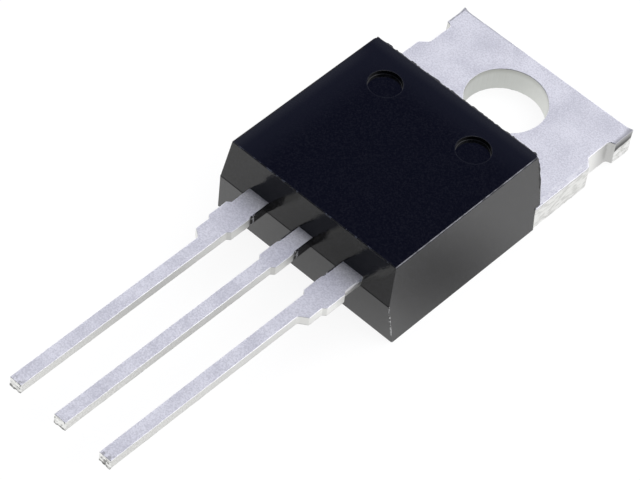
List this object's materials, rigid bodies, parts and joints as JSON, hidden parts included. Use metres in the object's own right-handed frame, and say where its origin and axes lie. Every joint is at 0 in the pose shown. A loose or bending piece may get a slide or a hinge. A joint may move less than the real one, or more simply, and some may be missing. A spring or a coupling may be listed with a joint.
{
  "type": "schottky diode",
  "caption": "Power Schottky diode: black moulded body on a flat tinned tab with a mounting hole and notched sides, with straight flat leads in a row.",
  "frame": {"origin": "the mounting hole's axis, at the flat back of the tab", "axes": "+Z along the mounting hole's axis, from the back of the tab towards the body's top; +Y towards the tab's end, away from the leads; +X to the right, seen from above with the tab's end up"},
  "size_m": [0.0102, 0.0301, 0.0045],
  "materials": {
    "moulding": "black epoxy moulding compound, semi-gloss",
    "tinned_copper": "matte tin plating on copper",
    "silicon": "silicon with a thin metal face",
    "solder": "soft solder",
    "wire": "drawn aluminium wire"
  },
  "bodies": {
    "root": {"moulded_body": "moulding", "heatsink_tab": "tinned_copper", "left_anode_lead": "tinned_copper", "right_anode_lead": "tinned_copper", "left_die": "silicon", "right_die": "silicon", "left_die_solder": "solder", "right_die_solder": "solder", "left_bond_wire": "wire", "right_bond_wire": "wire"}
  },
  "joints": []
}
